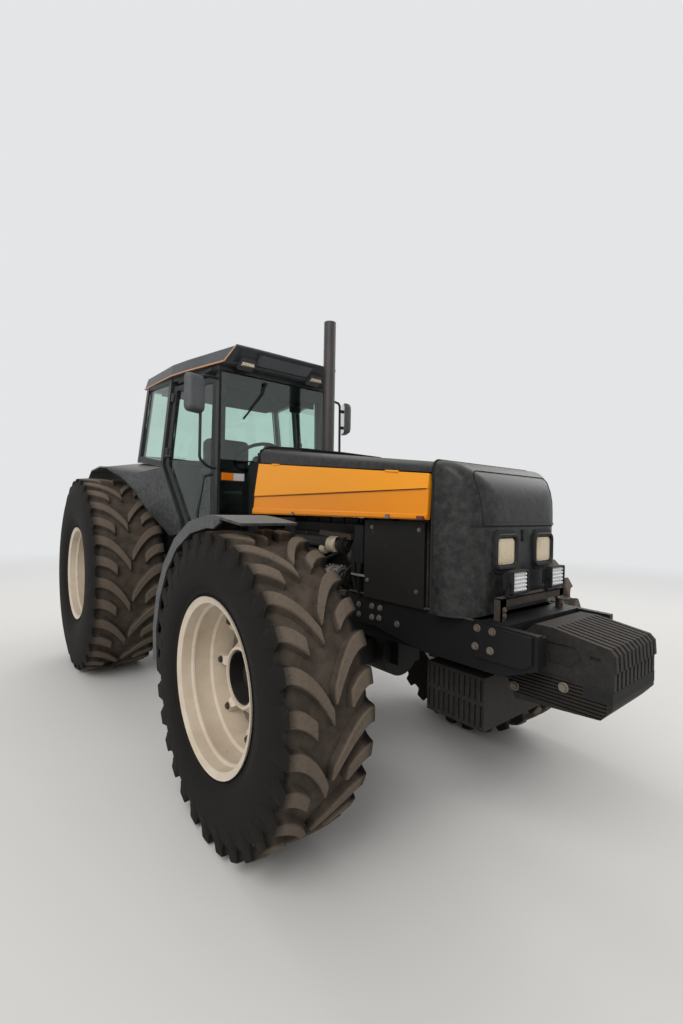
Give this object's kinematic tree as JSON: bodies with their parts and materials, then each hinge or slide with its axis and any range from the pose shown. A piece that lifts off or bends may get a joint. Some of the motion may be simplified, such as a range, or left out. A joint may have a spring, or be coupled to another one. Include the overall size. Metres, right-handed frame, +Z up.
{
  "type": "farm tractor",
  "caption": "Heavy four-wheel-drive farm tractor with glazed cab, long sloping hood, exhaust stack, front ballast weights and rear three-point hitch.",
  "frame": {"origin": "on the ground, on the centreline, below the middle of the overall length", "axes": "+X forward, +Y to the driver's left, +Z up"},
  "size_m": [5.399, 2.436, 3.11],
  "materials": {
    "tyre": "worn rubber, dusty",
    "rim_paint": "cream enamel, chipped",
    "orange_paint": "orange enamel, faded",
    "hood_black": "black enamel, dull",
    "chassis_black": "black chassis paint, scuffed",
    "weight_iron": "painted cast iron, rubbed",
    "driveline_iron": "painted cast iron, oily",
    "engine_iron": "painted cast iron, oily",
    "ancillary_metal": "cast aluminium, dirty",
    "rusty_sheet": "dark sheet with rust showing",
    "fender_grey": "dark grey moulding, satin",
    "cab_black": "black cab frame paint, satin",
    "roof_black": "dark moulded roof, satin",
    "cab_glass": "green tinted glass",
    "lamp_lens": "clear lens",
    "lamp_body": "moulded housing",
    "marker_amber": "moulded lens",
    "stack_steel": "heat stained black steel",
    "seat_cloth": "seat cloth",
    "trim_plastic": "grained moulding",
    "link_steel": "painted steel, worn bare at the ends",
    "radiator_core": "finned core, dusty"
  },
  "bodies": {
    "chassis": {"engine_block": "engine_iron", "engine_ancillaries": "ancillary_metal", "transmission_housing": "driveline_iron", "rear_axle_housings": "driveline_iron", "front_axle_beam": "driveline_iron", "front_support": "chassis_black", "side_rails": "chassis_black", "upper_weights": "weight_iron", "lower_weights": "weight_iron", "belly_weight": "weight_iron", "lamp_bar": "chassis_black", "work_lamps": "lamp_body", "nose_cowl": "hood_black", "headlamps": "lamp_lens", "hood_top": "hood_black", "radiator": "radiator_core", "side_covers": "rusty_sheet", "exhaust_stack": "stack_steel", "cab_floor": "cab_black", "cab_frame": "cab_black", "cab_roof": "roof_black", "cab_glass": "cab_glass", "operator_seat": "seat_cloth", "dash_console": "trim_plastic", "steering_wheel": "trim_plastic", "rear_fenders": "fender_grey", "mirrors": "trim_plastic", "marker_lamps": "marker_amber", "fuel_tank": "trim_plastic", "battery_box": "chassis_black", "top_link": "link_steel", "drawbar": "link_steel"},
    "wheel_front_left": {"front_tyre_left": "tyre", "front_rim_left": "rim_paint"},
    "wheel_front_right": {"front_tyre_right": "tyre", "front_rim_right": "rim_paint"},
    "wheel_rear_left": {"rear_tyre_left": "tyre", "rear_rim_left": "rim_paint"},
    "wheel_rear_right": {"rear_tyre_right": "tyre", "rear_rim_right": "rim_paint"},
    "knuckle_body_left": {"knuckle_left": "driveline_iron", "front_fender_left": "fender_grey"},
    "knuckle_body_right": {"knuckle_right": "driveline_iron", "front_fender_right": "fender_grey"},
    "steering_rod_body": {"steering_rod": "link_steel"},
    "door_body_left": {"door_left": "cab_black", "door_glass_left": "cab_glass"},
    "door_body_right": {"door_right": "cab_black", "door_glass_right": "cab_glass"},
    "panel_body_left": {"side_panel_left": "orange_paint"},
    "panel_body_right": {"side_panel_right": "orange_paint"},
    "lower_links_body": {"lower_links": "link_steel"},
    "lift_arms_body": {"lift_arms": "link_steel"},
    "lift_rods_body": {"lift_rods": "link_steel"}
  },
  "joints": [
    {"name": "steering_left", "type": "hinge", "parent": "chassis", "child": "knuckle_body_left", "pos_m": [1.3075, 0.62, 0.72], "axis": [0, 0, 1], "range_deg": [-28, 28]},
    {"name": "front_wheel_spin_left", "type": "hinge", "parent": "knuckle_body_left", "child": "wheel_front_left", "pos_m": [1.3075, 0.943, 0.72], "axis": [0, 1, 0], "continuous": true},
    {"name": "rear_wheel_spin_left", "type": "hinge", "parent": "chassis", "child": "wheel_rear_left", "pos_m": [-1.6525, 0.913, 0.902], "axis": [0, 1, 0], "continuous": true},
    {"name": "door_swing_left", "type": "hinge", "parent": "chassis", "child": "door_body_left", "pos_m": [-0.6375, 0.696, 1.902], "axis": [0, -0.0983, 0.9952], "range_deg": [0, 75]},
    {"name": "side_panel_lift_left", "type": "hinge", "parent": "chassis", "child": "panel_body_left", "pos_m": [0.4625, 0.42, 1.856], "axis": [0.9956, 0, -0.0933], "range_deg": [0, 80]},
    {"name": "steering_right", "type": "hinge", "parent": "chassis", "child": "knuckle_body_right", "pos_m": [1.3075, -0.62, 0.72], "axis": [0, 0, 1], "range_deg": [-28, 28]},
    {"name": "front_wheel_spin_right", "type": "hinge", "parent": "knuckle_body_right", "child": "wheel_front_right", "pos_m": [1.3075, -0.943, 0.72], "axis": [0, 1, 0], "continuous": true},
    {"name": "rear_wheel_spin_right", "type": "hinge", "parent": "chassis", "child": "wheel_rear_right", "pos_m": [-1.6525, -0.913, 0.902], "axis": [0, 1, 0], "continuous": true},
    {"name": "door_swing_right", "type": "hinge", "parent": "chassis", "child": "door_body_right", "pos_m": [-0.6375, -0.696, 1.902], "axis": [0, -0.0983, -0.9952], "range_deg": [0, 75]},
    {"name": "side_panel_lift_right", "type": "hinge", "parent": "chassis", "child": "panel_body_right", "pos_m": [0.4625, -0.42, 1.856], "axis": [-0.9956, 0, 0.0933], "range_deg": [0, 80]},
    {"name": "steering_rod_slide", "type": "slide", "parent": "chassis", "child": "steering_rod_body", "axis": [0, 1, 0], "range_m": [-0.098, 0.098]},
    {"name": "lower_link_lift", "type": "hinge", "parent": "chassis", "child": "lower_links_body", "pos_m": [-1.7525, 0, 0.5], "axis": [0, 1, 0], "range_deg": [-18, 29]},
    {"name": "lift_arm_turn", "type": "hinge", "parent": "chassis", "child": "lift_arms_body", "pos_m": [-1.7525, 0, 1.2], "axis": [0, 1, 0], "range_deg": [-18, 29]},
    {"name": "lift_rod_swing", "type": "hinge", "parent": "lift_arms_body", "child": "lift_rods_body", "pos_m": [-2.1525, 0, 1.2], "axis": [0, 1, 0], "range_deg": [-29, 18]}
  ],
  "couplings": [
    {"joint": "steering_right", "follows": "steering_left", "ratio": 1},
    {"joint": "steering_rod_slide", "follows": "steering_left", "m_per_rad": -0.2},
    {"joint": "lift_arm_turn", "follows": "lower_link_lift", "ratio": 1},
    {"joint": "lift_rod_swing", "follows": "lower_link_lift", "ratio": -1}
  ]
}
